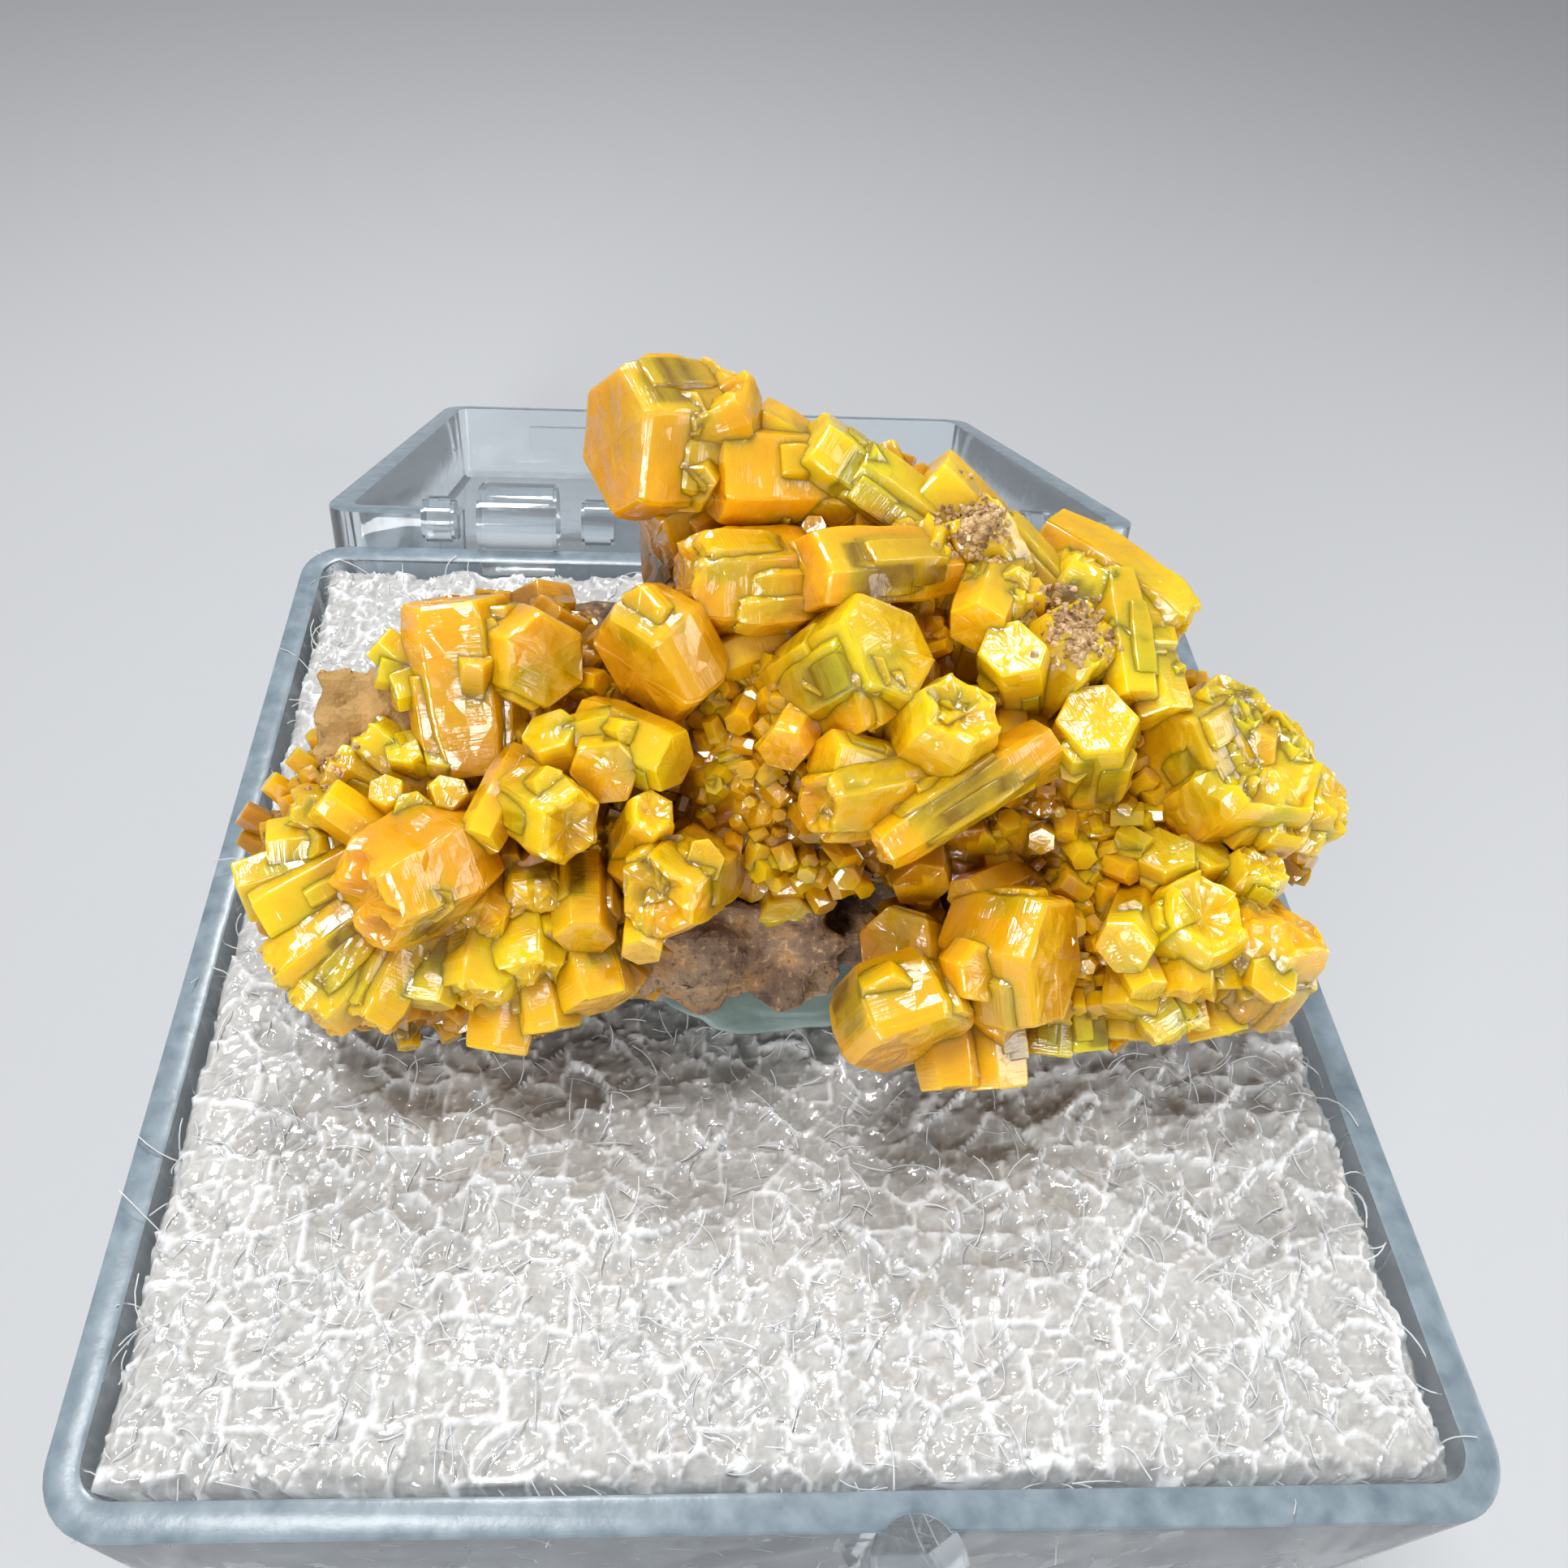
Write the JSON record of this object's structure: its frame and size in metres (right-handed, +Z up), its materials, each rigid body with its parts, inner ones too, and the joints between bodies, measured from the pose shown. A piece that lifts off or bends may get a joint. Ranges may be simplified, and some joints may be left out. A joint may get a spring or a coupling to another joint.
{
  "type": "pyromorphite specimen in a hinged display box",
  "caption": "Cluster of orange to lime-yellow crystals on a brown matrix, fixed with putty on foam in a small clear box with a hinged lid.",
  "frame": {"origin": "centre of the box's flat underside", "axes": "+X to the right as the specimen faces the viewer, +Y towards the hinge and the open lid, +Z up"},
  "size_m": [0.032, 0.0647, 0.0348],
  "materials": {
    "clear_plastic": "clear moulded polystyrene, lightly scuffed",
    "foam": "clear large-celled foam with torn fibres",
    "putty": "teal mineral putty",
    "matrix": "rough brown limonitic rock",
    "pyromorphite": "resinous translucent crystal"
  },
  "bodies": {
    "base": {"box_base": "clear_plastic", "foam_insert": "foam", "putty": "putty", "matrix": "matrix", "crystals": "pyromorphite"},
    "lid": {"box_lid": "clear_plastic"}
  },
  "joints": [
    {"name": "lid_hinge", "type": "hinge", "parent": "base", "child": "lid", "pos_m": [0, 0.0172, 0.02085], "axis": [1, 0, 0], "range_deg": [0, 164]}
  ]
}
